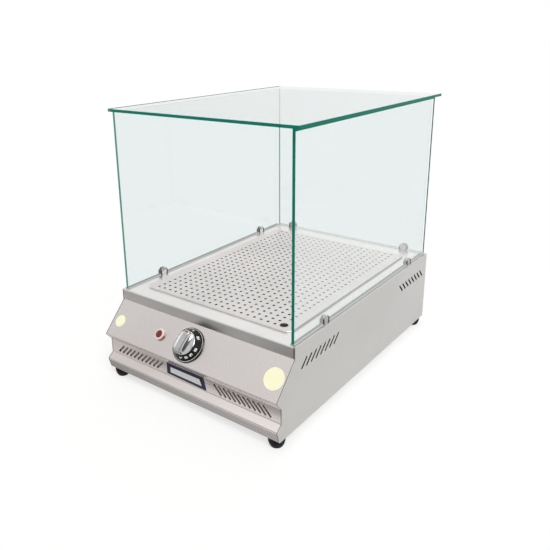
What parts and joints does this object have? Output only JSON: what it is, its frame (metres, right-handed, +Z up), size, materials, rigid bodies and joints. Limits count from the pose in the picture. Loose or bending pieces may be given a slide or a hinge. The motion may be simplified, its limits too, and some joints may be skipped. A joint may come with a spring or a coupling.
{
  "type": "hamburger steamer",
  "caption": "Counter-top steam display warmer: folded steel base with water pan, perforated lift-out tray, thermostat knob, lamp and a front-open glass case.",
  "frame": {"origin": "under the middle of the whole machine, on the surface its rubber feet stand on", "axes": "+X to the right of someone facing the control panel, +Y from the control panel to the back, +Z up"},
  "size_m": [0.406, 0.5894, 0.512],
  "materials": {
    "steel": "brushed stainless steel sheet, film-polished",
    "tray_steel": "satin stainless steel sheet, punched",
    "pan_steel": "plain rolled stainless steel",
    "clip_steel": "polished stainless strip",
    "element_sheath": "annealed dark sheath",
    "brass": "turned brass",
    "copper": "drawn copper tube",
    "glass": "clear float glass, polished green edges",
    "black_plastic": "moulded black thermoset",
    "phenolic": "moulded brown-black phenolic",
    "chrome_cap": "satin chrome plating",
    "zinc": "zinc-plated steel",
    "lamp_white": "pale translucent moulding",
    "lamp_red": "transparent red lens",
    "rubber": "moulded black rubber"
  },
  "bodies": {
    "base": {"front_fascia": "steel", "deck_frame": "steel", "left_side_panel": "steel", "right_side_panel": "steel", "back_panel": "steel", "base_plate": "steel", "water_pan": "pan_steel", "heating_element": "element_sheath", "element_bushings": "brass", "element_rests": "pan_steel", "glass_clips": "clip_steel", "thermostat_body": "phenolic", "dial_ring": "black_plastic", "thermostat_screws": "zinc", "sensor_bulb": "copper", "capillary_gland": "brass", "capillary_tube": "copper", "lamp_bezel": "lamp_white", "lamp_lens": "lamp_red", "lamp_nut": "black_plastic", "cable_gland": "black_plastic", "gland_nut": "black_plastic", "terminal_block": "lamp_white", "earth_stud": "brass", "foot_front_left": "rubber", "foot_front_right": "rubber", "foot_rear_left": "rubber", "foot_rear_right": "rubber", "foot_bolts": "zinc", "foot_nuts": "zinc", "casing_screws": "zinc"},
    "glass_case": {"glass_left": "glass", "glass_right": "glass", "glass_back": "glass", "glass_top": "glass"},
    "knob": {"knob_skirt": "black_plastic", "knob_cap": "chrome_cap", "thermostat_shaft": "zinc"},
    "tray": {"perforated_tray": "tray_steel"}
  },
  "joints": [
    {"name": "case_lift", "type": "slide", "parent": "base", "child": "glass_case", "axis": [0, 0, 1], "range_m": [0, 0.08]},
    {"name": "tray_lift", "type": "slide", "parent": "base", "child": "tray", "axis": [0, 0, 1], "range_m": [0, 0.12]},
    {"name": "knob_turn", "type": "hinge", "parent": "base", "child": "knob", "pos_m": [-0.005, -0.26698, 0.11748], "axis": [0, 0.7338, -0.6794], "range_deg": [0, 270]}
  ]
}
